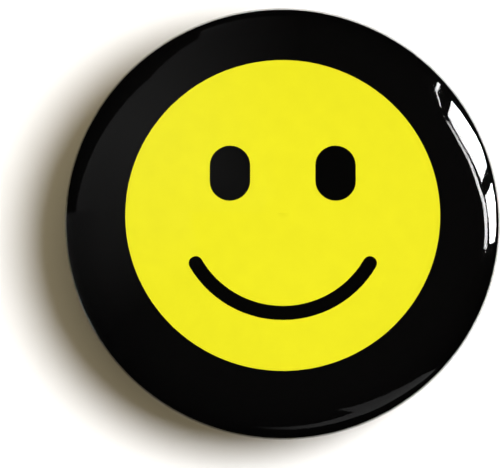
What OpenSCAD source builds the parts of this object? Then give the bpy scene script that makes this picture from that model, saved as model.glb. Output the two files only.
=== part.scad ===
// Pin-back button badge, 25 mm across, as it hangs on a garment.
// The face looks along -Y and up is +Z. The origin is the centre of the plane that the back of
// the rim lies in, where the garment touches it. Everything is modelled lying down, face up
// along +z with the rim on z = 0, and worn() stands it up.

/* [Badge] */
// Diameter over the film
badge_d = 25; // [22:0.5:32]
// Radius of the rounded shoulder between the face and the edge
shoulder_r = 2.7; // [2.2:0.1:3.2]
// Radius of the slight dome across the face
crown_r = 60; // [45:5:120]
// Height of the straight skirt under the shoulder
skirt_h = 0.35; // [0.2:0.05:0.8]
// Outer radius of the curl that the edge is rolled into at the back
curl_r = 0.75; // [0.7:0.05:0.9]

/* [Layers, from the outside in] */
// Thickness of the clear polyester film
film_t = 0.08; // [0.05:0.01:0.1]
// Thickness of the printed ink
ink_t = 0.03; // [0.02:0.01:0.04]
// Thickness of the paper under the ink
paper_t = 0.10; // [0.08:0.01:0.12]
// Thickness of the pressed front shell
shell_t = 0.25; // [0.2:0.01:0.28]

/* [Print] */
// Radius of the yellow disc
disc_r = 8.95; // [7:0.05:9.5]
// Distance of each eye from the middle line
eye_x = 3.0; // [2.4:0.1:3.6]
// Height of the eyes above the centre
eye_y = 2.3; // [1.5:0.1:3]
// Radius of the round end of an eye
eye_r = 1.15; // [0.8:0.05:1.4]
// Straight stretch between an eye's two round ends
eye_h = 0.9; // [0.2:0.1:1.6]
// Radius of the smile, at the middle of its line
smile_r = 5.7; // [4:0.1:6.5]
// Half the angle that the smile spans
smile_half = 60; // [40:1:75]
// Thickness of the smile's line
smile_t = 0.8; // [0.4:0.1:1.2]

/* [Back plate] */
// Thickness of the back plate
plate_t = 0.3; // [0.25:0.05:0.35]
// Depth of the plate's outer land inside the rim plane
land_z = 0.3; // [0.2:0.05:0.4]
// Depth of the plate's middle panel inside the rim plane
panel_z = 0.55; // [0.45:0.05:0.6]
// Radius of the middle panel
panel_r = 9.4; // [8.9:0.1:9.6]
// Height of the wall's top edge, which flares out over the curl
wall_top = 1.65; // [1.55:0.05:1.8]
// Width of each bridge along the wire
bridge_w = 1.8; // [1.2:0.1:2.4]
// Thickness of each bridge
bridge_t = 0.3; // [0.25:0.05:0.35]

/* [Pin wire] */
// Diameter of the spring wire
wire_d = 0.7; // [0.6:0.05:0.75]
// Mean radius of the coil
coil_r = 1.5; // [1.3:0.1:1.7]
// Whole turns of the coil, besides its last half turn
coil_turns = 2; // [1:1:2]
// Distance from one turn to the next
coil_pitch = 0.75; // [0.75:0.01:0.8]
// Place of the coil's axis, across the badge
coil_x = -7; // [-7.2:0.1:-6]
// Height of the coil's axis above the centre
coil_y = 3; // [2:0.1:3.4]
// Place of the catch hook, across the badge
hook_x = 8; // [7:0.1:8.2]
// Length of the needle's point past the hook
point_past = 1.7; // [1:0.1:2]
// Clearance between the needle and the catch hook
catch_gap = 0.04; // [0.03:0.01:0.1]

/* [Hidden] */
$fn = 96;
eps = 0.01;
tall = 20;

// Depth of each layer's outer face under the film's outer face.
film_d = 0;
ink_d = film_d + film_t;
paper_d = ink_d + ink_t;
shell_d = paper_d + paper_t;
inside_d = shell_d + shell_t;

// Angles, from the outermost point of the curl, at which each layer's rolled edge ends. Each is a
// whole number of CURL_STEP, so that layers that touch have the same facets where they touch.
film_tuck = 200;
print_tuck = 190;
shell_tuck = 210;

// The section's circles: the curl, the shoulder above it and the crown, each tangent to the next.
badge_r = badge_d / 2;
curl_x = badge_r - curl_r;
shoulder_x = badge_r - shoulder_r;
shoulder_z = curl_r + skirt_h;
tilt = asin(shoulder_x / (crown_r - shoulder_r));
crown_z = shoulder_z - (crown_r - shoulder_r) * cos(tilt);
apex_z = crown_z + crown_r;

// The back plate's wall stands just inside the curl, and flares at 45 degrees above it.
wall_gap = 0.01;
wall_r = badge_r - 2 * curl_r - wall_gap;
flare_z = curl_r + curl_r * sin(shell_tuck - 180) + 0.12;
flare_w = wall_top - flare_z;
corner_r = 0.45;
step_w = panel_z - land_z;
bevel = plate_t * tan(22.5);

// The wire: the fixed leg lies on the panel, and the coil carries the needle away from it.
wire_r = wire_d / 2;
leg_y = coil_y - coil_r;
leg_z = panel_z - wire_r;
needle_y = coil_y + coil_r;
needle_z = leg_z - (coil_turns + 0.5) * coil_pitch;
lead = coil_r + wire_r + 0.35;
lead_x = coil_x + lead;
taper_x = hook_x - 1.7;
point_x = hook_x + point_past;
tip_x = point_x - 0.9;
tip_r = 0.12;
point_r = 0.02;
needle_r_at_hook = wire_r - (wire_r - tip_r) * (hook_x - taper_x) / (tip_x - taper_x);
leg_bend = 0.9;
hook_bend = needle_r_at_hook + wire_r + catch_gap;
hook_top = needle_y + 1.1;
bridge_gap = 0.01;
bridge_x = [-2.6, 4.2];

// Angle of each step round the curl, and steps along each other rounded stretch.
CURL_STEP = 10;
CROWN_STEPS = 8;
SHOULDER_STEPS = 14;
CORNER_STEPS = 6;
EYE_STEPS = 16;
SMILE_STEPS = 28;
END_STEPS = 10;
SEGMENTS_PER_TURN = 24;
WIRE_SIDES = 16;

// Stands the badge up, with its face along -Y.
module worn() {
    rotate([90, 0, 0]) children();
}

// Points along an arc from angle a0 to a1, in so many steps.
function arc(centre, r, a0, a1, steps) = [
    for (i = [0:steps]) let (a = a0 + (a1 - a0) * i / steps) centre + r * [cos(a), sin(a)]
];

function reversed(list) = [for (i = [len(list) - 1:-1:0]) list[i]];

// The half section of the face that lies a depth d under the film's outer face, from the
// middle of the crown to where the edge is tucked in under the curl.
function outline(d, tuck) = concat(
    arc([0, crown_z], crown_r - d, 90, 90 - tilt, CROWN_STEPS),
    arc([shoulder_x, shoulder_z], shoulder_r - d, 90 - tilt, 0, SHOULDER_STEPS),
    arc([curl_x, curl_r], curl_r - d, 0, -tuck, tuck / CURL_STEP)
);

module layer_section(from_d, to_d, tuck) {
    polygon(concat(outline(from_d, tuck), reversed(outline(to_d, tuck))));
}

module layer(from_d, to_d, tuck) {
    rotate_extrude($fn = 180) layer_section(from_d, to_d, tuck);
}

module ink_section() {
    layer_section(ink_d, paper_d, print_tuck);
}

module disc_section() {
    square([disc_r, tall]);
}

// The ink inside the disc's edge.
module disc_ink() {
    rotate_extrude($fn = 180) intersection() {
        ink_section();
        disc_section();
    }
}

// Outline of one eye: two round ends joined by straight sides.
module eye_outline() {
    polygon(concat(
        arc([0, eye_h / 2], eye_r, 0, 180, EYE_STEPS),
        arc([0, -eye_h / 2], eye_r, 180, 360, EYE_STEPS)
    ));
}

// Outline of the smile: a band round the badge's centre with two round ends.
module smile_outline() {
    a0 = -90 - smile_half;
    a1 = -90 + smile_half;
    polygon(concat(
        arc([0, 0], smile_r + smile_t / 2, a0, a1, SMILE_STEPS),
        arc(smile_r * [cos(a1), sin(a1)], smile_t / 2, a1, a1 + 180, END_STEPS),
        arc([0, 0], smile_r - smile_t / 2, a1, a0, SMILE_STEPS),
        arc(smile_r * [cos(a0), sin(a0)], smile_t / 2, a0 + 180, a0 + 360, END_STEPS)
    ));
}

module eyes_cutter() {
    for (side = [-1, 1]) translate([side * eye_x, eye_y, 0]) linear_extrude(tall) eye_outline();
}

module smile_cutter() {
    linear_extrude(tall) smile_outline();
}

module clear_film() {
    color([0.9, 0.92, 0.95, 0.3]) worn() layer(film_d, ink_d, film_tuck);
}

module border_print() {
    color([0.04, 0.04, 0.045]) worn() rotate_extrude($fn = 180) difference() {
        ink_section();
        disc_section();
    }
}

module face_print() {
    color([0.95, 0.9, 0.12]) worn() difference() {
        disc_ink();
        eyes_cutter();
        smile_cutter();
    }
}

module eyes_print() {
    color([0.05, 0.05, 0.05]) worn() intersection() {
        disc_ink();
        eyes_cutter();
    }
}

module mouth_print() {
    color([0.05, 0.05, 0.05]) worn() intersection() {
        disc_ink();
        smile_cutter();
    }
}

module insert_paper() {
    color("white") worn() layer(paper_d, shell_d, print_tuck);
}

module front_shell() {
    color([0.72, 0.73, 0.74]) worn() layer(shell_d, inside_d, shell_tuck);
}

// Half of the back plate's section: panel, step, land, rounded corner, wall and flare. The first
// path runs along its rear face and the second back along its front face.
module plate_section() {
    land_in = panel_r + step_w;
    corner = [wall_r - corner_r, land_z + corner_r];
    flare_out = wall_r + flare_w;
    slant = plate_t * cos(45);
    rear = concat(
        [[0, panel_z], [panel_r, panel_z], [land_in, land_z]],
        arc(corner, corner_r, -90, 0, CORNER_STEPS),
        [[wall_r, flare_z], [flare_out, wall_top]]
    );
    front = concat(
        [[flare_out - slant, wall_top + slant], [wall_r - plate_t, flare_z + bevel]],
        arc(corner, corner_r - plate_t, 0, -90, CORNER_STEPS),
        [[land_in + bevel, land_z + plate_t], [panel_r + bevel, panel_z + plate_t], [0, panel_z + plate_t]]
    );
    polygon(concat(rear, front));
}

// The strap that the plate's metal makes over the wire, lying across the leg.
module bridge() {
    inner = wire_r + bridge_gap;
    outer = inner + bridge_t;
    translate([-bridge_w / 2, leg_y, leg_z]) rotate([90, 0, 90]) linear_extrude(bridge_w) difference() {
        union() {
            circle(outer);
            translate([-outer, 0]) square([2 * outer, wire_r + eps]);
        }
        circle(inner);
        translate([-inner, 0]) square([2 * inner, tall]);
    }
}

// The slot that the strap's metal was pushed out of.
module lance_slot() {
    inner = wire_r + bridge_gap;
    translate([-bridge_w / 2, leg_y - inner, panel_z - eps])
        cube([bridge_w, 2 * inner, plate_t + 2 * eps]);
}

module back_plate() {
    color([0.76, 0.76, 0.75]) worn() {
        difference() {
            rotate_extrude($fn = 180) plate_section();
            for (x = bridge_x) translate([x, 0, 0]) lance_slot();
        }
        for (x = bridge_x) translate([x, 0, 0]) bridge();
    }
}

// A straight stretch of wire that runs from the origin along +z.
module wire(length) {
    cylinder(r = wire_r, h = length);
}

// A quarter bend round the origin, from the x axis to the y axis.
module quarter(bend) {
    rotate_extrude(angle = 90) translate([bend, 0]) circle(wire_r);
}

// Turns a bend's x and y axes into y and z, across the badge's middle line.
module across() {
    rotate([90, 0, 90]) children();
}

module pin_leg() {
    length = hook_x - leg_bend - lead_x;
    color([0.8, 0.8, 0.8]) worn() translate([lead_x, leg_y, leg_z]) rotate([0, 90, 0]) wire(length);
}

// From the leg: a bend upwards, a riser, a bend away from the plate, the floor that the
// needle rests on, a bend round the needle's back, and the upright tip.
module pin_catch() {
    riser_y = leg_y + leg_bend;
    floor_y = needle_y - hook_bend;
    floor_z = leg_z - hook_bend;
    back_z = needle_z - hook_bend;
    color([0.8, 0.8, 0.8]) worn() {
        translate([hook_x - leg_bend, riser_y, leg_z]) rotate(-90) quarter(leg_bend);
        translate([hook_x, riser_y, leg_z]) rotate([-90, 0, 0]) wire(floor_y - hook_bend - riser_y);
        translate([hook_x, floor_y - hook_bend, floor_z]) across() quarter(hook_bend);
        translate([hook_x, floor_y, needle_z]) wire(floor_z - needle_z);
        translate([hook_x, needle_y, needle_z]) across() rotate(180) quarter(hook_bend);
        translate([hook_x, needle_y, back_z]) rotate([-90, 0, 0]) wire(hook_top - needle_y);
        translate([hook_x, hook_top, back_z]) sphere(wire_r);
    }
}

// Points along the coil's middle line: a straight lead, the turns, and a straight lead.
coil_steps = SEGMENTS_PER_TURN * (coil_turns + 0.5);
function coil_point(i) = let (a = -90 - 360 * i / SEGMENTS_PER_TURN)
    [coil_x + coil_r * cos(a), coil_y + coil_r * sin(a), leg_z - coil_pitch * i / SEGMENTS_PER_TURN];
function coil_outward(i) = let (a = -90 - 360 * i / SEGMENTS_PER_TURN) [cos(a), sin(a), 0];
coil_points = concat(
    [[lead_x, leg_y, leg_z]],
    [for (i = [0:coil_steps]) coil_point(i)],
    [[lead_x, needle_y, needle_z]]
);
coil_outwards = concat(
    [coil_outward(0)],
    [for (i = [0:coil_steps]) coil_outward(i)],
    [coil_outward(coil_steps)]
);

// A tube round the coil's middle line, one ring of points for each of its points.
module pin_coil() {
    rings = len(coil_points);
    points = [
        for (i = [0:rings - 1], j = [0:WIRE_SIDES - 1])
        let (a = 360 * j / WIRE_SIDES)
        coil_points[i] + wire_r * (cos(a) * coil_outwards[i] + sin(a) * [0, 0, 1])
    ];
    sides = [
        for (i = [0:rings - 2], j = [0:WIRE_SIDES - 1])
        let (k = (j + 1) % WIRE_SIDES, near = i * WIRE_SIDES, far = near + WIRE_SIDES)
        [near + j, far + j, far + k, near + k]
    ];
    first = [for (j = [0:WIRE_SIDES - 1]) j];
    last = [for (j = [0:WIRE_SIDES - 1]) rings * WIRE_SIDES - 1 - j];
    color([0.8, 0.8, 0.8]) worn() polyhedron(points, concat(sides, [first, last]), convexity = 10);
}

// The needle: a straight shaft, a long taper and a short sharp point.
module pin_needle() {
    color([0.8, 0.8, 0.8]) worn() translate([lead_x, needle_y, needle_z]) rotate([0, 90, 0])
        rotate_extrude() polygon([
            [0, 0], [wire_r, 0], [wire_r, taper_x - lead_x], [tip_r, tip_x - lead_x],
            [point_r, point_x - lead_x], [0, point_x - lead_x]
        ]);
}

clear_film();
border_print();
face_print();
eyes_print();
mouth_print();
insert_paper();
front_shell();
back_plate();
pin_leg();
pin_catch();
pin_coil();
pin_needle();
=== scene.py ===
"""Looks of the pin-back button badge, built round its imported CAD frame.

Shapes are worked out lying face up, in millimetres, as in the CAD: x to the right, y up the
face and z out of the face, with the back of the rim on z = 0. stand_up() turns them into the
row frame, in metres, where the face looks along -Y.
"""

import math

import bmesh
import bpy
from mathutils import Matrix, Vector


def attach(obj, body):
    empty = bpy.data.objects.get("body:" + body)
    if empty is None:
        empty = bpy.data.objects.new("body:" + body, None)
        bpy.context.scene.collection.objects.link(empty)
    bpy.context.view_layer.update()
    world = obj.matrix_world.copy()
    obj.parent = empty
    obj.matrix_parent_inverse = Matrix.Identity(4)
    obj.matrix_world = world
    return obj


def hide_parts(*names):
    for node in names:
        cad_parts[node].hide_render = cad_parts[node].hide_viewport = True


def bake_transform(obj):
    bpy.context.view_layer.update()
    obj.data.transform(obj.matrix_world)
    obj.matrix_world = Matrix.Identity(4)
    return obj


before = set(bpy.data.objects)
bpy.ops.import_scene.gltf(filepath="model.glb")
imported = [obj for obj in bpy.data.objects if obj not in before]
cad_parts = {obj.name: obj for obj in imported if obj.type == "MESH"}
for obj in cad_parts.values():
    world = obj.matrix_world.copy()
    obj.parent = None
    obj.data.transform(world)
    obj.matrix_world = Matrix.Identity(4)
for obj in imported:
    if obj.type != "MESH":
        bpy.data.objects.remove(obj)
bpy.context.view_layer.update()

MM = 0.001
FULL_TURN = 2 * math.pi

# Section of the face, as in the CAD.
BADGE_R = 12.5
CROWN_R = 60.0
SHOULDER_R = 2.7
SKIRT = 0.35
CURL_R = 0.75
SHOULDER_X = BADGE_R - SHOULDER_R
SHOULDER_Z = CURL_R + SKIRT
CURL_X = BADGE_R - CURL_R
TILT = math.asin(SHOULDER_X / (CROWN_R - SHOULDER_R))
CROWN_Z = SHOULDER_Z - (CROWN_R - SHOULDER_R) * math.cos(TILT)
FILM_T = 0.06
INK_TOP = 0.08
INK_BOTTOM = 0.11
DISC_R = 8.95
FILM_TUCK = math.radians(200)
INK_TUCK = math.radians(190)

# How finely the face is divided, the radius that counts as on its axis, and the angle over
# which an edge is sharp.
CROWN_STEPS = 10
SHOULDER_STEPS = 26
CURL_STEP_DEG = 5
FACE_SEGMENTS = 432
ON_AXIS = 1e-6
EDGE_SHARP = math.radians(40)

# Puckers that the film and paper are gathered into, on the back of the curl. Slow waves round
# the badge, (size, count, phase) each, move the puckers along and change their height.
PUCKERS = 58
PUCKER_DEPTH = 0.07
PUCKER_FROM = math.radians(88)
PUCKER_TO = math.radians(176)
PUCKER_DRIFTS = ((1.6, 5, 0.7), (1.1, 11, 2.1))
PUCKER_MEAN_HEIGHT = 0.7
PUCKER_HEIGHT_WAVE = (0.3, 7, 1.3)
PUCKER_NARROWNESS = 3

# Back plate, along the middle of its sheet.
PLATE_T = 0.3
PANEL_Z = 0.70
LAND_Z = 0.45
PANEL_R = 9.462
LAND_R = 9.712
WALL_R = 10.84
FLARE_Z = 1.307
FLARE_END = (11.28, 1.747)
PLATE_BENDS = (0.26, 0.26, 0.32, 0.26)
PLATE_BEND_STEPS = 8
PLATE_SEGMENTS = 240
PLATE_SHARP = math.radians(35)

# Straps of the plate, pushed out over the wire, and the slots they leave.
STRAP_X = (-2.6, 4.2)
STRAP_W = 1.8
STRAP_T = 0.28
STRAP_CLEAR = 0.03
STRAP_BEND = 0.22
STRAP_EDGE = 0.05
STRAP_EDGE_STEPS = 3
STRAP_OVERLAP = 0.05
STRAP_STEPS = 20
SLOT_GAP = 0.06
SLOT_REACH = 1.02

# Pin wire, as in the CAD.
WIRE_R = 0.35
COIL_X, COIL_Y, COIL_R = -7.0, 3.0, 1.5
COIL_TURNS = 2.5
COIL_PITCH = 0.75
COIL_STEPS_A_TURN = 48
LEG_Y, LEG_Z = COIL_Y - COIL_R, 0.2
NEEDLE_Y, NEEDLE_Z = COIL_Y + COIL_R, LEG_Z - COIL_TURNS * COIL_PITCH
LEAD_X = COIL_X + 2.2
HOOK_X = 8.0
LEG_BEND = 0.9
HOOK_BEND = 0.5836
HOOK_TOP = 5.6
WIRE_BEND_STEPS = 10
TAPER_X, TIP_X, POINT_X = 6.3, 8.8, 9.7
SIDES = 28
END_STEPS = 7
WIRE_SHARP = math.radians(50)

# (x, radius) along the needle, from the coil to the end of its ground point.
NEEDLE_STATIONS = (
    (LEAD_X, WIRE_R),
    (0.0, WIRE_R),
    (TAPER_X - 0.5, WIRE_R),
    (TAPER_X, 0.346),
    (TAPER_X + 0.5, 0.302),
    (HOOK_X, 0.190),
    (TIP_X - 0.2, 0.135),
    (TIP_X + 0.1, 0.104),
    (POINT_X - 0.3, 0.056),
    (POINT_X - 0.05, 0.028),
    (POINT_X, 0.008),
)


# ---------------------------------------------------------------- meshes


def stand_up(p):
    """A point of the badge lying face up, in millimetres, as a point in the row frame."""
    x, y, z = p
    return Vector((x * MM, -z * MM, y * MM))


def link_object(name, data):
    """Adds an object with the given mesh, lamp or camera to the scene."""
    obj = bpy.data.objects.new(name, data)
    bpy.context.scene.collection.objects.link(obj)
    return obj


def face_outwards(mesh):
    """Turns the faces of a closed mesh so that all look out of it."""
    tidy = bmesh.new()
    tidy.from_mesh(mesh)
    bmesh.ops.recalc_face_normals(tidy, faces=tidy.faces)
    tidy.to_mesh(mesh)
    tidy.free()


def new_object(name, verts, faces, smooth=True):
    """An object from points of the badge lying face up, in millimetres."""
    mesh = bpy.data.meshes.new(name)
    mesh.from_pydata([stand_up(v) for v in verts], [], faces)
    face_outwards(mesh)
    if smooth:
        mesh.shade_smooth()
        mesh.set_sharp_from_angle(angle=EDGE_SHARP)
    return link_object(name, mesh)


def arc(centre, radius, start, end, steps):
    """Points in the section plane along an arc, angles in radians from the first axis."""
    return [
        (
            centre[0] + radius * math.cos(start + (end - start) * i / steps),
            centre[1] + radius * math.sin(start + (end - start) * i / steps),
        )
        for i in range(steps + 1)
    ]


def wave(around, size, count, phase):
    """A slow wave round the badge."""
    return size * math.sin(count * around + phase)


def pucker(around, along):
    """How far out the gathered film stands, at an angle around the badge and one along the curl."""
    if not PUCKER_FROM < along < PUCKER_TO:
        return 0.0
    share = (along - PUCKER_FROM) / (PUCKER_TO - PUCKER_FROM)
    swell = math.sin(math.pi * share) ** 2
    phase = PUCKERS * around
    for drift in PUCKER_DRIFTS:
        phase += wave(around, *drift)
    height = PUCKER_MEAN_HEIGHT + wave(around, *PUCKER_HEIGHT_WAVE)
    return PUCKER_DEPTH * swell * height * (0.5 + 0.5 * math.cos(phase)) ** PUCKER_NARROWNESS


def skin_section(depth, tuck, inner_r):
    """Half section of a layer, from inner_r to the tucked edge: (r, z, curl angle or None)."""
    inner_lean = math.asin(inner_r / (CROWN_R - depth))
    crown_end = math.pi / 2 - TILT
    curl_steps = round(math.degrees(tuck) / CURL_STEP_DEG)
    crown = arc((0, CROWN_Z), CROWN_R - depth, math.pi / 2 - inner_lean, crown_end, CROWN_STEPS)
    shoulder = arc((SHOULDER_X, SHOULDER_Z), SHOULDER_R - depth, crown_end, 0, SHOULDER_STEPS)
    curl = arc((CURL_X, CURL_R), CURL_R - depth, 0, -tuck, curl_steps)
    flat = [(r, z, None) for r, z in crown + shoulder[1:]]
    return flat + [(r, z, tuck * i / curl_steps) for i, (r, z) in enumerate(curl)]


def ring_points(r, z, along, segments):
    """One point of a section turned round the badge's axis, puckered where it is on the curl."""
    points = []
    for k in range(segments):
        around = FULL_TURN * k / segments
        out = 0.0 if along is None else pucker(around, along)
        at_r = r + out * math.cos(along or 0.0)
        at_z = z - out * math.sin(along or 0.0)
        points.append((at_r * math.cos(around), at_r * math.sin(around), at_z))
    return points


def turned(name, section, segments):
    """A section, (r, z, curl angle or None), turned into a closed solid.

    A section that starts on the badge's axis ends there too. Any other is a closed loop."""
    verts, rings, faces = [], [], []
    for r, z, along in section:
        if r < ON_AXIS:
            rings.append([len(verts)] * segments)
            verts.append((0, 0, z))
        else:
            rings.append(list(range(len(verts), len(verts) + segments)))
            verts += ring_points(r, z, along, segments)
    pairs = list(zip(rings, rings[1:]))
    if section[0][0] > ON_AXIS:
        pairs.append((rings[-1], rings[0]))
    for a, b in pairs:
        for k in range(segments):
            n = (k + 1) % segments
            faces.append(list(dict.fromkeys([a[k], b[k], b[n], a[n]])))
    return new_object(name, verts, faces)


def skin(name, top, bottom, tuck, inner_r):
    """A closed layer of the face between two depths, with its gathered puckers."""
    outer = skin_section(top, tuck, inner_r)
    inner = skin_section(bottom, tuck, inner_r)
    return turned(name, outer + inner[::-1], FACE_SEGMENTS)


def rounded_path(points, radii):
    """A path in the section plane with each inner corner turned into an arc of the given radius."""
    path = [Vector(points[0])]
    for before, at, after, radius in zip(points, points[1:], points[2:], radii):
        corner = Vector(at)
        to_before = (Vector(before) - corner).normalized()
        to_after = (Vector(after) - corner).normalized()
        half = to_before.angle(to_after) / 2
        centre = corner + (to_before + to_after).normalized() * radius / math.sin(half)
        first = corner + to_before * radius / math.tan(half) - centre
        last = corner + to_after * radius / math.tan(half) - centre
        sweep = first.angle_signed(last)
        for i in range(PLATE_BEND_STEPS + 1):
            turn = Matrix.Rotation(-sweep * i / PLATE_BEND_STEPS, 2)
            path.append(centre + turn @ first)
    path.append(Vector(points[-1]))
    return path


def path_normals(path):
    """Unit vectors square to a path in the section plane, one for each of its points."""
    normals = []
    for i in range(len(path)):
        ahead = path[min(i + 1, len(path) - 1)] - path[max(i - 1, 0)]
        normals.append(Vector((-ahead.y, ahead.x)).normalized())
    return normals


def plate_blank():
    """The pressed plate without its slots and straps: a sheet of even thickness, turned."""
    corners = [
        (0, PANEL_Z),
        (PANEL_R, PANEL_Z),
        (LAND_R, LAND_Z),
        (WALL_R, LAND_Z),
        (WALL_R, FLARE_Z),
        FLARE_END,
    ]
    path = rounded_path(corners, PLATE_BENDS)
    normals = path_normals(path)
    rear = [p - n * PLATE_T / 2 for p, n in zip(path, normals)]
    front = [p + n * PLATE_T / 2 for p, n in zip(path, normals)]
    section = [(p.x, p.y, None) for p in rear + front[::-1]]
    return turned("plate_blank", section, PLATE_SEGMENTS)


def rounded_rectangle(width, height, radius):
    """Outline of a bar's cross-section, round its centre."""
    x, y = width / 2 - radius, height / 2 - radius
    outline = []
    for cx, cy, start in ((x, y, 0), (-x, y, 1), (-x, -y, 2), (x, -y, 3)):
        first, last = start * math.pi / 2, (start + 1) * math.pi / 2
        outline += arc((cx, cy), radius, first, last, STRAP_EDGE_STEPS)
    return outline


def strap_path():
    """The middle of a strap's metal, along y and z: feet in the panel and an arch between."""
    arch_r = WIRE_R + STRAP_CLEAR + STRAP_T / 2
    foot = SLOT_REACH + STRAP_OVERLAP
    left = rounded_path([(-foot, PANEL_Z), (-arch_r, PANEL_Z), (-arch_r, LEG_Z)], [STRAP_BEND])
    bow = [Vector(p) for p in arc((0, LEG_Z), arch_r, math.pi, FULL_TURN, STRAP_STEPS)]
    right = rounded_path([(arch_r, LEG_Z), (arch_r, PANEL_Z), (foot, PANEL_Z)], [STRAP_BEND])
    return left[:-1] + bow + right[1:]


def strap_mesh(x):
    """The bar of plate metal pushed out over the wire, across the leg at x."""
    path = strap_path()
    outline = rounded_rectangle(STRAP_W, STRAP_T, STRAP_EDGE)
    count = len(outline)
    verts, faces = [], []
    for p, n in zip(path, path_normals(path)):
        for across, out in outline:
            at = p + n * out
            verts.append((x + across, LEG_Y + at.x, at.y))
    for i in range(len(path) - 1):
        near, far = i * count, (i + 1) * count
        for j in range(count):
            k = (j + 1) % count
            faces.append([near + j, far + j, far + k, near + k])
    faces.append(list(range(count)))
    faces.append(list(range(len(verts) - count, len(verts))))
    return new_object("strap", verts, faces)


def slot_mesh(x):
    """The hole that the strap's metal leaves in the panel."""
    half_w = STRAP_W / 2 + SLOT_GAP
    verts = [
        (x + sx * half_w, LEG_Y + sy * SLOT_REACH, PANEL_Z + sz * PLATE_T)
        for sx in (-1, 1)
        for sy in (-1, 1)
        for sz in (-1, 1)
    ]
    faces = [[0, 1, 3, 2], [4, 6, 7, 5], [0, 4, 5, 1], [2, 3, 7, 6], [0, 2, 6, 4], [1, 5, 7, 3]]
    return new_object("slot", verts, faces, smooth=False)


def combine(base, tool, operation):
    """Applies a Boolean of tool to base, and removes tool."""
    step = base.modifiers.new(operation, "BOOLEAN")
    step.object, step.operation, step.solver = tool, operation, "EXACT"
    evaluated = base.evaluated_get(bpy.context.evaluated_depsgraph_get())
    made = bpy.data.meshes.new_from_object(evaluated)
    base.modifiers.clear()
    base.data = made
    bpy.data.objects.remove(tool)


def wire_rings(path, radii, round_end):
    """The rings of a wire, (middle, side, up, radius) each, and how far along it each one is."""
    tangents = [
        (path[min(i + 1, len(path) - 1)] - path[max(i - 1, 0)]).normalized()
        for i in range(len(path))
    ]
    side = tangents[0].orthogonal().normalized()
    rings, lengths, run = [], [], 0.0
    for i, (p, t) in enumerate(zip(path, tangents)):
        if i:
            side = tangents[i - 1].rotation_difference(t) @ side
            run += (p - path[i - 1]).length
        rings.append((p, side.copy(), t.cross(side), radii[i]))
        lengths.append(run)
    if round_end:
        p, side, up, radius = rings[-1]
        for step in range(1, END_STEPS):
            lean = math.pi / 2 * step / END_STEPS
            ahead = tangents[-1] * radius * math.sin(lean)
            rings.append((p + ahead, side, up, radius * math.cos(lean)))
            lengths.append(run + radius * lean)
    return rings, lengths


def wire_faces(lengths):
    """The faces between the rings of a wire and over its ends, and the UV of each corner."""
    faces, coords = [], []
    for i in range(len(lengths) - 1):
        near, far = i * SIDES, (i + 1) * SIDES
        v0, v1 = lengths[i], lengths[i + 1]
        for j in range(SIDES):
            k = (j + 1) % SIDES
            u0, u1 = j / SIDES, (j + 1) / SIDES
            faces.append([near + j, far + j, far + k, near + k])
            coords.append([(u0, v0), (u0, v1), (u1, v1), (u1, v0)])
    for ring in (0, len(lengths) - 1):
        faces.append(list(range(ring * SIDES, (ring + 1) * SIDES)))
        coords.append([(j / SIDES, lengths[ring]) for j in range(SIDES)])
    return faces, coords


def tube(name, path, radii, round_end=False):
    """A wire along a path, with a radius at each point. Its UV map runs round and along it."""
    rings, lengths = wire_rings([Vector(p) for p in path], radii, round_end)
    turns = [FULL_TURN * j / SIDES for j in range(SIDES)]
    verts = [
        p + radius * (math.cos(turn) * side + math.sin(turn) * up)
        for p, side, up, radius in rings
        for turn in turns
    ]
    faces, coords = wire_faces(lengths)
    mesh = bpy.data.meshes.new(name)
    mesh.from_pydata([stand_up(v) for v in verts], [], faces)
    uv = mesh.uv_layers.new(name="wire")
    for polygon, corners in zip(mesh.polygons, coords):
        for loop, coord in zip(polygon.loop_indices, corners):
            uv.data[loop].uv = coord
    mesh.shade_smooth()
    face_outwards(mesh)
    mesh.set_sharp_from_angle(angle=WIRE_SHARP)
    return link_object(name, mesh)


def bend(centre, start, end):
    """Points of a quarter bend round a centre, from centre + start to centre + end."""
    c, a, b = Vector(centre), Vector(start), Vector(end)
    turns = [math.pi / 2 * i / WIRE_BEND_STEPS for i in range(WIRE_BEND_STEPS + 1)]
    return [c + a * math.cos(turn) + b * math.sin(turn) for turn in turns]


def line(start, end, steps):
    """Points along a straight line, both ends included."""
    a, b = Vector(start), Vector(end)
    return [a.lerp(b, i / steps) for i in range(steps + 1)]


def film_piece():
    """The clear film, wrapped over the face and gathered behind it."""
    obj = skin("film_skin", 0.0, FILM_T, FILM_TUCK, 0.0)
    obj.data.materials.append(film_material())
    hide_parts("clear_film")
    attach(obj, "badge")
    return obj


def border_piece():
    """The black ring of print round the disc, wrapped with the film."""
    obj = skin("border_skin", INK_TOP, INK_BOTTOM, INK_TUCK, DISC_R)
    obj.data.materials.append(ink_material("black_ink", BORDER_BLACK))
    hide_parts("border_print")
    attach(obj, "badge")
    return obj


def plate_piece():
    """The back plate, with its straps pushed out of their slots."""
    obj = plate_blank()
    for x in STRAP_X:
        combine(obj, slot_mesh(x), "DIFFERENCE")
        combine(obj, strap_mesh(x), "UNION")
    obj.name = "pressed_plate"
    obj.data.shade_smooth()
    obj.data.set_sharp_from_angle(angle=PLATE_SHARP)
    obj.data.materials.clear()
    obj.data.materials.append(tinplate_material("plate_tinplate", PLATE_ROUGHNESS))
    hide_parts("back_plate")
    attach(obj, "badge")
    return obj


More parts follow.
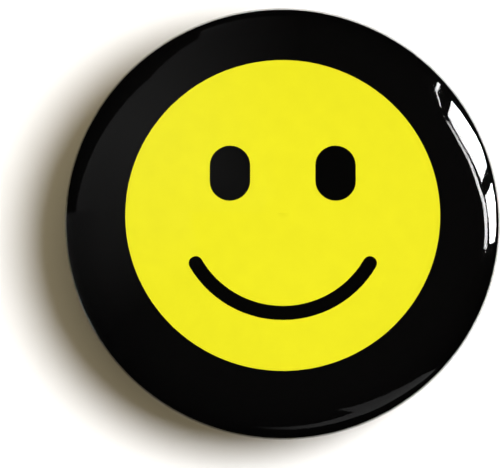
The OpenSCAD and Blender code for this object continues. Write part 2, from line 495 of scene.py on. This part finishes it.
def fixed_wire_piece():
    """The leg that the straps hold, the riser, and the catch that wraps the needle."""
    riser_y = LEG_Y + LEG_BEND
    floor_y = NEEDLE_Y - HOOK_BEND
    floor_z = LEG_Z - HOOK_BEND
    back_z = NEEDLE_Z - HOOK_BEND
    path = line((LEAD_X, LEG_Y, LEG_Z), (HOOK_X - LEG_BEND, LEG_Y, LEG_Z), steps=12)
    path += bend((HOOK_X - LEG_BEND, riser_y, LEG_Z), (0, -LEG_BEND, 0), (LEG_BEND, 0, 0))[1:]
    path += line((HOOK_X, riser_y, LEG_Z), (HOOK_X, floor_y - HOOK_BEND, LEG_Z), steps=3)[1:]
    path += bend((HOOK_X, floor_y - HOOK_BEND, floor_z), (0, 0, HOOK_BEND), (0, HOOK_BEND, 0))[1:]
    path += line((HOOK_X, floor_y, floor_z), (HOOK_X, floor_y, NEEDLE_Z), steps=4)[1:]
    path += bend((HOOK_X, NEEDLE_Y, NEEDLE_Z), (0, -HOOK_BEND, 0), (0, 0, -HOOK_BEND))[1:]
    path += line((HOOK_X, NEEDLE_Y, back_z), (HOOK_X, HOOK_TOP, back_z), steps=4)[1:]
    obj = tube("wire_leg_and_catch", path, [WIRE_R] * len(path), round_end=True)
    obj.data.materials.append(wire_material())
    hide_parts("pin_leg", "pin_catch")
    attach(obj, "badge")
    return obj


def coil_wire_piece():
    """The coil, which winds up evenly from the leg's plane to the needle's."""
    steps = round(COIL_STEPS_A_TURN * COIL_TURNS)
    path = line((LEAD_X, LEG_Y, LEG_Z), (COIL_X, LEG_Y, LEG_Z), steps=8)
    for i in range(1, steps):
        turn = COIL_TURNS * i / steps
        angle = -math.pi / 2 - FULL_TURN * turn
        x = COIL_X + COIL_R * math.cos(angle)
        y = COIL_Y + COIL_R * math.sin(angle)
        path.append(Vector((x, y, LEG_Z - COIL_PITCH * turn)))
    path += line((COIL_X, NEEDLE_Y, NEEDLE_Z), (LEAD_X, NEEDLE_Y, NEEDLE_Z), steps=8)
    obj = tube("wire_coil", path, [WIRE_R] * len(path))
    obj.data.materials.append(wire_material())
    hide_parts("pin_coil")
    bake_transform(obj)
    return obj


def needle_piece():
    """The straight shaft and its ground point."""
    path = [(x, NEEDLE_Y, NEEDLE_Z) for x, _ in NEEDLE_STATIONS]
    obj = tube("wire_needle", path, [radius for _, radius in NEEDLE_STATIONS])
    obj.data.materials.append(wire_material())
    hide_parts("pin_needle")
    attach(obj, "needle")
    return obj


# ---------------------------------------------------------------- materials

YELLOW = (0.70, 0.687, 0.0182)
BORDER_BLACK = (0.0019, 0.0019, 0.002)
FACE_BLACK = (0.0012, 0.0012, 0.0012)
INK_MOTTLE = 0.025
PAPER_SHADE, PAPER_LIGHT = (0.88, 0.87, 0.84), (0.97, 0.97, 0.95)
TIN_DARK, TIN_LIGHT = (0.62, 0.62, 0.61), (0.77, 0.77, 0.75)
NICKEL, TARNISH = (0.80, 0.79, 0.77), (0.66, 0.64, 0.60)
FILM_IOR = 1.6

# The least roughness of each sheet. Both are kept above 0.28, because wide metal that is partly
# smoother than that is left with dark specks by the denoiser.
PLATE_ROUGHNESS = 0.30
SHELL_ROUGHNESS = 0.29
ROUGHER_IN_MOTTLE = 0.09
ROUGHER_IN_SCRATCH = 0.1
SCRATCH_TURN = math.radians(37)


class Nodes:
    """Short ways to add nodes to one material.

    The scales of noise are in waves per metre, or, on a wire's UV map, per turn round it and per
    millimetre along it."""

    def __init__(self, name):
        self.material = bpy.data.materials.new(name)
        self.material.use_nodes = True
        self.tree = self.material.node_tree
        self.tree.nodes.clear()
        self.output = self.add("ShaderNodeOutputMaterial")

    def add(self, kind, **settings):
        """A new node with the given settings."""
        node = self.tree.nodes.new(kind)
        for key, value in settings.items():
            setattr(node, key, value)
        return node

    def link(self, a, b):
        """Joins an output to an input."""
        self.tree.links.new(a, b)

    def coordinates(self, scale=(1, 1, 1), output="Object", turn=0.0):
        """Texture coordinates, turned about the badge's axis and then stretched."""
        source = self.add("ShaderNodeTexCoord")
        turned = self.add("ShaderNodeMapping")
        turned.inputs["Rotation"].default_value = (0, turn, 0)
        self.link(source.outputs[output], turned.inputs["Vector"])
        stretched = self.add("ShaderNodeMapping")
        stretched.inputs["Scale"].default_value = scale
        self.link(turned.outputs["Vector"], stretched.inputs["Vector"])
        return stretched.outputs["Vector"]

    def noise(self, where, scale, detail=3.0, roughness=0.55):
        """Smooth noise from 0 to 1."""
        node = self.add("ShaderNodeTexNoise")
        node.inputs["Scale"].default_value = scale
        node.inputs["Detail"].default_value = detail
        node.inputs["Roughness"].default_value = roughness
        self.link(where, node.inputs["Vector"])
        return node.outputs["Fac"]

    def spread(self, value, source, target=(0.0, 1.0)):
        """Takes a value from one range to another."""
        node = self.add("ShaderNodeMapRange")
        names = ("From Min", "From Max", "To Min", "To Max")
        for name, number in zip(names, source + target):
            node.inputs[name].default_value = number
        self.link(value, node.inputs["Value"])
        return node.outputs["Result"]

    def between(self, value, dark, light):
        """A colour between two, by a value from 0 to 1."""
        node = self.add("ShaderNodeMix", data_type="RGBA")
        node.inputs["A"].default_value = (*dark, 1)
        node.inputs["B"].default_value = (*light, 1)
        self.link(value, node.inputs["Factor"])
        return node.outputs["Result"]

    def combined(self, operation, a, b):
        """The sum or product of two values."""
        node = self.add("ShaderNodeMath", operation=operation)
        self.link(a, node.inputs[0])
        self.link(b, node.inputs[1])
        return node.outputs[0]

    def bump(self, height, strength, depth, under=None):
        """A normal moved by a height from 0 to 1, with the depth in millimetres."""
        node = self.add("ShaderNodeBump")
        node.inputs["Strength"].default_value = strength
        node.inputs["Distance"].default_value = depth * MM
        self.link(height, node.inputs["Height"])
        if under is not None:
            self.link(under, node.inputs["Normal"])
        return node.outputs["Normal"]

    def principled(self, metallic=0.0, specular=0.5):
        """The main surface shader, joined to the output."""
        node = self.add("ShaderNodeBsdfPrincipled")
        node.inputs["Metallic"].default_value = metallic
        node.inputs["Specular IOR Level"].default_value = specular
        self.link(node.outputs["BSDF"], self.output.inputs["Surface"])
        return node


def scaled(colour, by):
    """A colour made lighter or darker."""
    return tuple(c * by for c in colour)


def front_only(n, value):
    """A value that becomes 0 where the surface is seen from behind."""
    side = n.add("ShaderNodeNewGeometry")
    front = n.add("ShaderNodeMath", operation="SUBTRACT")
    front.inputs[0].default_value = 1.0
    n.link(side.outputs["Backfacing"], front.inputs[1])
    return n.combined("MULTIPLY", value, front.outputs[0])


def film_material():
    """Clear glossy polyester: a mirror by Fresnel over what lies below, smudged and scratched."""
    n = Nodes("clear_film")
    where = n.coordinates()
    smudge = n.noise(where, scale=420.0, detail=4.0, roughness=0.6)
    hairline = n.noise(n.coordinates((9000, 9000, 260)), scale=1.0, detail=2.0)
    scratch = n.spread(hairline, (0.66, 0.74))
    ripple = n.bump(n.noise(where, scale=260.0, detail=1.0), strength=0.5, depth=0.012)
    normal = n.bump(scratch, strength=0.25, depth=0.002, under=ripple)
    gloss = n.add("ShaderNodeBsdfGlossy")
    gloss.inputs["Color"].default_value = WHITE
    n.link(n.spread(smudge, (0.35, 0.75), (0.02, 0.07)), gloss.inputs["Roughness"])
    n.link(normal, gloss.inputs["Normal"])
    fresnel = n.add("ShaderNodeFresnel")
    fresnel.inputs["IOR"].default_value = FILM_IOR
    n.link(normal, fresnel.inputs["Normal"])
    clear = n.add("ShaderNodeBsdfTransparent")
    mix = n.add("ShaderNodeMixShader")
    n.link(front_only(n, fresnel.outputs["Fac"]), mix.inputs["Fac"])
    n.link(clear.outputs["BSDF"], mix.inputs[1])
    n.link(gloss.outputs["BSDF"], mix.inputs[2])
    n.link(mix.outputs["Shader"], n.output.inputs["Surface"])
    return n.material


def ink_material(name, colour):
    """Solid matt print: faint mottle and grain in the ink, and the grain in the bump too."""
    n = Nodes(name)
    where = n.coordinates()
    mottle = n.spread(n.noise(where, scale=900.0), (0.3, 0.7))
    grain = n.noise(where, scale=16000.0, detail=2.0)
    shade = n.combined("MULTIPLY", mottle, n.spread(grain, (0.2, 0.8), (0.4, 1.0)))
    dark, light = scaled(colour, 1 - INK_MOTTLE), scaled(colour, 1 + INK_MOTTLE)
    surface = n.principled(specular=0.0)
    n.link(n.between(shade, dark, light), surface.inputs["Base Color"])
    n.link(n.spread(grain, (0.2, 0.8), (0.5, 0.66)), surface.inputs["Roughness"])
    n.link(n.bump(grain, strength=0.3, depth=0.004), surface.inputs["Normal"])
    return n.material


def paper_material():
    """Uncoated white paper, with crossing fibres."""
    n = Nodes("paper")
    across = n.noise(n.coordinates((5200, 900, 900)), scale=1.0, detail=4.0)
    up = n.noise(n.coordinates((900, 900, 5200)), scale=1.0, detail=4.0)
    fibres = n.combined("MULTIPLY", across, up)
    surface = n.principled(specular=0.3)
    n.link(n.between(fibres, PAPER_SHADE, PAPER_LIGHT), surface.inputs["Base Color"])
    n.link(n.spread(fibres, (0.1, 0.5), (0.75, 0.9)), surface.inputs["Roughness"])
    n.link(n.bump(fibres, strength=0.5, depth=0.01), surface.inputs["Normal"])
    return n.material


def tinplate_material(name, roughness):
    """Pressed tinplate: fine rolling grain one way, faint tin mottle, and hair-fine scratches."""
    n = Nodes(name)
    grain = n.noise(n.coordinates((700, 700, 26000)), scale=1.0, roughness=0.6)
    mottle = n.noise(n.coordinates(), scale=650.0, detail=4.0, roughness=0.65)
    hairs = n.noise(n.coordinates((11000, 11000, 120), turn=SCRATCH_TURN), scale=1.0, detail=1.0)
    tone_grain = n.spread(grain, (0.2, 0.8), (0.5, 1.0))
    tone = n.combined("MULTIPLY", n.spread(mottle, (0.3, 0.7)), tone_grain)
    matt = n.spread(mottle, (0.3, 0.7), (roughness, roughness + ROUGHER_IN_MOTTLE))
    scratched = n.spread(hairs, (0.66, 0.72), (0.0, ROUGHER_IN_SCRATCH))
    surface = n.principled(metallic=1.0)
    n.link(n.between(tone, TIN_DARK, TIN_LIGHT), surface.inputs["Base Color"])
    n.link(n.combined("ADD", matt, scratched), surface.inputs["Roughness"])
    n.link(n.bump(grain, strength=0.35, depth=0.004), surface.inputs["Normal"])
    return n.material


def wire_material():
    """Nickel-plated drawn wire, one material for all its pieces: streaks and a little tarnish."""
    name = "pin_wire_nickel"
    existing = bpy.data.materials.get(name)
    if existing is not None:
        return existing
    n = Nodes(name)
    streaks = n.noise(n.coordinates((26, 0.9, 1), "UV"), scale=1.0, roughness=0.6)
    tarnish = n.noise(n.coordinates(), scale=900.0, detail=4.0, roughness=0.6)
    tone = n.between(n.spread(tarnish, (0.35, 0.7)), NICKEL, TARNISH)
    surface = n.principled(metallic=1.0)
    n.link(tone, surface.inputs["Base Color"])
    n.link(n.spread(streaks, (0.25, 0.75), (0.13, 0.25)), surface.inputs["Roughness"])
    n.link(n.bump(streaks, strength=0.3, depth=0.005), surface.inputs["Normal"])
    return n.material


def dress(node, material):
    """Gives a CAD node that stays in view its finished material."""
    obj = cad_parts[node]
    if not obj.material_slots:
        obj.data.materials.append(material)
    for held in obj.material_slots:
        held.material = material


# ---------------------------------------------------------------- camera

# In metres, with the sensor in millimetres.
CAMERA_UP = math.radians(-9.0)
DISTANCE = 0.25
VIEW_WIDTH = 28.85 * MM
SENSOR = 36.0
CLIP_NEAR, CLIP_FAR = 0.01, 5.0
AIM = Vector((-1.86 * MM, 0.0, -0.5 * MM))
TO_CAMERA = Vector((0.0, -math.cos(CAMERA_UP), math.sin(CAMERA_UP)))
CAMERA_SPOT = AIM + TO_CAMERA * DISTANCE


def add_camera():
    """A long lens that looks up at the badge a little from below."""
    data = bpy.data.cameras.new("camera")
    data.sensor_width = SENSOR
    data.lens = SENSOR * DISTANCE / VIEW_WIDTH
    data.clip_start, data.clip_end = CLIP_NEAR, CLIP_FAR
    camera = link_object("camera", data)
    camera.location = CAMERA_SPOT
    camera.rotation_euler = (-TO_CAMERA).to_track_quat("-Z", "Y").to_euler()
    bpy.context.scene.camera = camera


# ---------------------------------------------------------------- studio

# Distances and sizes are in metres. Rays that have met nothing matt are below NO_BOUNCE.
LAMP_DISTANCE = 0.4
KEY_DISTANCE = 0.153
KEY_COLOUR = (0.952, 0.962, 1.0)
FILL_COLOUR = (1.0, 0.835, 0.51)
NO_BOUNCE = 0.5

WALL_Y = 6.4 * MM
WALL_REACH = 60 * MM
WALL_WHITE = (0.9, 0.9, 0.9, 1)
FLOOR_Z = -46 * MM
FLOOR_REACH = 1.2
FLOOR_COLOUR = (0.2, 0.2, 0.2, 1)
FLOOR_GLOW = 0.8
WORLD_DIM = (0.003, 0.003, 0.003, 1)
WHITE = (1, 1, 1, 1)

# How bright each panel is, and how finely it is divided across and along.
WINDOW_POWER = 17.0
WINDOW_FRAME_POWER = 13.0
LOW_CARD_POWER = 0.25
LEFT_CARD_POWER = 0.18
PANEL_STEPS = (8, 48)
LEFT_CARD_STEPS = (8, 84)

# Leans, in degrees, where the parts of the left card meet or end, and the share of their glow
# that is left at the dimmer ends.
LEFT_CARD_JOIN = 9
LEFT_CARD_INNER = 1
LEFT_LOW_OUTER, LEFT_LOW_INNER = 72, 5
LEFT_CARD_DIM = 0.3

RAYS = ("camera", "diffuse", "glossy", "transmission", "volume_scatter", "shadow")


def seen_only_by(obj, *rays):
    """Hides an object from all but the given kinds of ray."""
    for ray in RAYS:
        setattr(obj, "visible_" + ray, ray in rays)


def direction(right, up):
    """Where a lamp is, by its angles in degrees to the right of the face's axis and above it."""
    around, rise = math.radians(right), math.radians(up)
    level = math.cos(rise)
    return Vector((math.sin(around) * level, -math.cos(around) * level, math.sin(rise)))


def add_lamp(name, towards, width, height, radiance, colour=(1, 1, 1), distance=LAMP_DISTANCE):
    """A soft round or oval box facing the badge."""
    data = bpy.data.lights.new(name, "AREA")
    data.shape = "ELLIPSE"
    data.size, data.size_y = width, height
    data.color = colour
    area = math.pi * width * height / 4
    data.energy = radiance * math.pi * area
    lamp = link_object(name, data)
    lamp.location = towards * distance
    lamp.rotation_euler = (-towards).to_track_quat("-Z", "Y").to_euler()
    return lamp


def mirrored_only(tree):
    """A number, 1 until a ray bounces off something matt, that keeps glints off the wall."""
    path = tree.nodes.new("ShaderNodeLightPath")
    direct = tree.nodes.new("ShaderNodeMath")
    direct.operation = "LESS_THAN"
    direct.inputs[1].default_value = NO_BOUNCE
    tree.links.new(path.outputs["Diffuse Depth"], direct.inputs[0])
    return direct.outputs[0]


def emission_material(name, strength):
    """A light panel, whose brightness over its surface is its glow attribute."""
    n = Nodes(name)
    glow = n.add("ShaderNodeAttribute", attribute_name="glow")
    light = n.add("ShaderNodeEmission")
    power = n.add("ShaderNodeMath", operation="MULTIPLY")
    power.inputs[1].default_value = strength
    n.link(glow.outputs["Fac"], power.inputs[0])
    shown = n.combined("MULTIPLY", power.outputs[0], mirrored_only(n.tree))
    n.link(shown, light.inputs["Strength"])
    n.link(light.outputs["Emission"], n.output.inputs["Surface"])
    return n.material


def mirrored(lean, polar):
    """The point LAMP_DISTANCE off that the face mirrors to the camera.

    It is mirrored where the face's normal leans by lean towards polar, in radians."""
    on_crown = lean < TILT
    radius = CROWN_R if on_crown else SHOULDER_R
    centre_r, centre_z = (0.0, CROWN_Z) if on_crown else (SHOULDER_X, SHOULDER_Z)
    out, up = math.sin(lean), math.cos(lean)
    r = centre_r + radius * out
    spot = stand_up((r * math.cos(polar), r * math.sin(polar), centre_z + radius * up))
    normal = stand_up((out * math.cos(polar), out * math.sin(polar), up)).normalized()
    to_camera = (CAMERA_SPOT - spot).normalized()
    return spot + (2 * normal.dot(to_camera) * normal - to_camera) * LAMP_DISTANCE


def edge_points(leans, shades):
    """An edge of a panel, (lean, polar, glow) each, from leans and the (polar, glow) they share."""
    return [(lean, polar, glow) for lean, (polar, glow) in zip(leans, shades)]


def along_edge(edge, share):
    """The point a share of the way along a row of points."""
    place = share * (len(edge) - 1)
    i = min(int(place), len(edge) - 2)
    return Vector(edge[i]).lerp(Vector(edge[i + 1]), place - i)


def add_panel(name, outer, inner, strength, steps=PANEL_STEPS):
    """A light panel that the face mirrors as a patch between an outer and an inner edge.

    Each point of an edge is (lean of the normal, polar angle, glow), with the angles in degrees."""
    across, along = steps
    verts, glow = [], []
    for i in range(along + 1):
        start, end = along_edge(outer, i / along), along_edge(inner, i / along)
        for j in range(across + 1):
            lean, polar, shine = start.lerp(end, j / across)
            verts.append(mirrored(math.radians(lean), math.radians(polar)))
            glow.append(shine)
    row = across + 1
    faces = [
        [i * row + j, i * row + j + 1, (i + 1) * row + j + 1, (i + 1) * row + j]
        for i in range(along)
        for j in range(across)
    ]
    mesh = bpy.data.meshes.new(name)
    mesh.from_pydata(verts, [], faces)
    mesh.attributes.new("glow", "FLOAT", "POINT").data.foreach_set("value", glow)
    mesh.materials.append(emission_material(name, strength))
    panel = link_object(name, mesh)
    seen_only_by(panel, "glossy")


def sheet_of(name, corners, material):
    """A flat part of the studio."""
    mesh = bpy.data.meshes.new(name)
    mesh.from_pydata(corners, [], [[0, 1, 2, 3]])
    mesh.materials.append(material)
    obj = link_object(name, mesh)
    return obj


def wall_material():
    """Matt white card, which is clear from behind so that the badge's back can be seen."""
    n = Nodes("wall_card")
    card = n.add("ShaderNodeBsdfDiffuse")
    card.inputs["Color"].default_value = WALL_WHITE
    clear = n.add("ShaderNodeBsdfTransparent")
    side = n.add("ShaderNodeNewGeometry")
    mix = n.add("ShaderNodeMixShader")
    n.link(side.outputs["Backfacing"], mix.inputs["Fac"])
    n.link(card.outputs["BSDF"], mix.inputs[1])
    n.link(clear.outputs["BSDF"], mix.inputs[2])
    n.link(mix.outputs["Shader"], n.output.inputs["Surface"])
    return n.material


def floor_material():
    """Pale floor with a little light of its own, so that it stays pale behind the wall too."""
    n = Nodes("pale_floor")
    surface = n.principled(specular=0.1)
    surface.inputs["Base Color"].default_value = FLOOR_COLOUR
    surface.inputs["Roughness"].default_value = 0.9
    surface.inputs["Emission Color"].default_value = WHITE
    surface.inputs["Emission Strength"].default_value = FLOOR_GLOW
    return n.material


def add_wall_and_floor():
    """The card just behind the badge, which catches its shadow, and the floor below."""
    left, right = -WALL_REACH, WALL_REACH
    wall_corners = [
        (left, WALL_Y, FLOOR_Z),
        (right, WALL_Y, FLOOR_Z),
        (right, WALL_Y, WALL_REACH),
        (left, WALL_Y, WALL_REACH),
    ]
    floor_corners = [
        (sx * FLOOR_REACH, sy * FLOOR_REACH, FLOOR_Z)
        for sx, sy in ((-1, -1), (1, -1), (1, 1), (-1, 1))
    ]
    wall = sheet_of("wall", wall_corners, wall_material())
    seen_only_by(wall, "camera", "diffuse")
    floor = sheet_of("floor", floor_corners, floor_material())
    seen_only_by(floor, "camera")
    return wall


def add_world():
    """White to the camera, and nearly dark to everything else."""
    world = bpy.data.worlds.new("studio")
    world.use_nodes = True
    tree = world.node_tree
    tree.nodes.clear()
    path = tree.nodes.new("ShaderNodeLightPath")
    shade = tree.nodes.new("ShaderNodeMix")
    shade.data_type = "RGBA"
    shade.inputs["A"].default_value = WORLD_DIM
    shade.inputs["B"].default_value = WHITE
    back = tree.nodes.new("ShaderNodeBackground")
    out = tree.nodes.new("ShaderNodeOutputWorld")
    tree.links.new(path.outputs["Is Camera Ray"], shade.inputs["Factor"])
    tree.links.new(shade.outputs["Result"], back.inputs["Color"])
    tree.links.new(back.outputs["Background"], out.inputs["Surface"])
    bpy.context.scene.world = world


def light_only(lamp, receivers):
    """Limits a lamp to a few pieces."""
    lit = bpy.data.collections.new(lamp.name + "_lights")
    for obj in receivers:
        lit.objects.link(obj)
    lamp.light_linking.receiver_collection = lit


def add_matt_lamps(print_pieces, rest):
    """A key from the right that throws the shadow, one for the print alone, and a warm fill."""
    key = add_lamp("key", direction(18.7, -1.7), 0.067, 0.065, 30.9, KEY_COLOUR, KEY_DISTANCE)
    light_only(key, rest)
    print_key = add_lamp("print_key", direction(-3, -3), 0.186, 0.186, 18.2)
    light_only(print_key, print_pieces)
    fill = add_lamp("fill", direction(15.5, 3.6), 0.76, 0.76, 0.9, FILL_COLOUR)
    for lamp in (key, print_key, fill):
        seen_only_by(lamp, "diffuse")


def add_mirrored_boxes(metal, film):
    """Boxes for the metal to mirror, and a small one for the film at the back of the rim."""
    for name, towards, width, height, radiance, receivers in (
        ("back_box", direction(142, 14), 0.34, 0.26, 2.4, metal),
        ("back_low_box", direction(205, -24), 0.30, 0.16, 1.0, metal),
        ("front_box", direction(20, 25), 0.40, 0.30, 1.8, metal),
        ("side_box", direction(-75, 10), 0.2, 0.4, 1.3, metal),
        ("rim_box", direction(180, 4), 0.06, 0.06, 1.5, [film]),
    ):
        lamp = add_lamp(name, towards, width, height, radiance)
        seen_only_by(lamp, "glossy")
        light_only(lamp, receivers)
        lamp.data.use_nodes = True
        tree = lamp.data.node_tree
        tree.links.new(mirrored_only(tree), tree.nodes["Emission"].inputs["Strength"])


def add_window():
    """A bright window with a bar across it, at the upper right, and the thin lines of its frame."""
    add_panel(
        "window_upper",
        [(49, 35, 1), (54, 27, 1), (59.5, 21, 1), (58, 15, 1)],
        [(29, 32, 1), (27, 27, 1), (29, 22, 1), (34, 16, 1), (40, 10, 1)],
        WINDOW_POWER,
    )
    add_panel(
        "window_lower",
        [(60.5, 10, 1), (63.5, 5, 1), (63, 0, 1), (62.5, -6, 1)],
        [(42.5, 6, 1), (47, -2, 1), (51, -7.5, 1)],
        WINDOW_POWER,
    )
    frame_shades = [(30, 0.6), (22.5, 0.7), (17, 0.8), (9, 1), (3, 1), (-9, 0.8)]
    frame_outer = [24.5, 26.5, 30.5, 35.5, 42, 47]
    frame_inner = [22, 23.5, 27, 31.5, 37.5, 42]
    add_panel(
        "window_frame",
        edge_points(frame_outer, frame_shades),
        edge_points(frame_inner, frame_shades),
        WINDOW_FRAME_POWER,
    )
    add_panel(
        "window_edge",
        [(51, 41.5, 1), (36, 40, 1), (26.5, 35.2, 1)],
        [(51, 40.5, 1), (36, 39, 1), (26.5, 34.2, 1)],
        WINDOW_FRAME_POWER,
    )


def add_low_card():
    """A dim card mirrored as a crescent at the lower right, with a notch and a fading tail."""
    add_panel(
        "low_card",
        [(66, -45, 1), (65, -49, 1), (62, -57, 1), (61, -64, 1), (59.5, -70, 1)],
        [(64, -45, 1), (55, -48.5, 1), (47.5, -57, 1), (43.5, -64, 1), (41.5, -70, 1)],
        LOW_CARD_POWER,
    )
    add_panel(
        "low_card_tip",
        [(50, -70, 1), (39, -74, 1)],
        [(41.5, -70, 1), (38.5, -74, 1)],
        LOW_CARD_POWER,
    )
    tail_shades = [(-70, 1), (-78, 1), (-86, 0.7), (-98, 0)]
    add_panel(
        "low_card_tail",
        edge_points([59.5, 59, 59.5, 59], tail_shades),
        edge_points([50, 52, 53.5, 56], tail_shades),
        LOW_CARD_POWER,
    )


def add_left_card():
    """A faint grey card over the left of the border, which fades upwards and downwards."""
    shades = [
        (84, 0),
        (100, 0.2),
        (113, 0.42),
        (115, 0.47),
        (134, 0.84),
        (150, 1),
        (160, 0.88),
        (178.5, 0.58),
    ]
    low_shades = [(178.5, 0.58), (190, 0.45), (200, 0.27), (215, 0)]
    dimmed = [(polar, LEFT_CARD_DIM * glow) for polar, glow in shades]
    low_dimmed = [(polar, LEFT_CARD_DIM * glow) for polar, glow in low_shades]
    outer_leans = [44, 46, 48, 36, 26.5, 32, 37.5, 48]
    add_panel(
        "left_card",
        edge_points(outer_leans, shades),
        edge_points([LEFT_CARD_JOIN] * len(shades), shades),
        LEFT_CARD_POWER,
        LEFT_CARD_STEPS,
    )
    add_panel(
        "left_inner_card",
        edge_points([LEFT_CARD_JOIN] * len(shades), shades),
        edge_points([LEFT_CARD_INNER] * len(shades), dimmed),
        LEFT_CARD_POWER,
    )
    add_panel(
        "left_low_card",
        edge_points([LEFT_LOW_OUTER] * len(low_shades), low_dimmed),
        edge_points([LEFT_LOW_INNER] * len(low_shades), low_shades),
        LEFT_CARD_POWER,
    )


# ---------------------------------------------------------------- the whole scene

bpy.context.scene.view_settings.view_transform = "Standard"

add_camera()
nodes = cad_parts
film = film_piece()
border = border_piece()
dress("face_print", ink_material("yellow_ink", YELLOW))
dress("eyes_print", ink_material("eye_ink", FACE_BLACK))
dress("mouth_print", ink_material("mouth_ink", FACE_BLACK))
dress("insert_paper", paper_material())
dress("front_shell", tinplate_material("shell_tinplate", SHELL_ROUGHNESS))
wall = add_wall_and_floor()
add_world()
metal = [
    plate_piece(),
    fixed_wire_piece(),
    coil_wire_piece(),
    needle_piece(),
    nodes["front_shell"],
]
print_pieces = [border, nodes["face_print"], nodes["eyes_print"], nodes["mouth_print"]]
add_matt_lamps(print_pieces, metal + [wall, nodes["insert_paper"]])
add_mirrored_boxes(metal, film)
add_window()
add_low_card()
add_left_card()
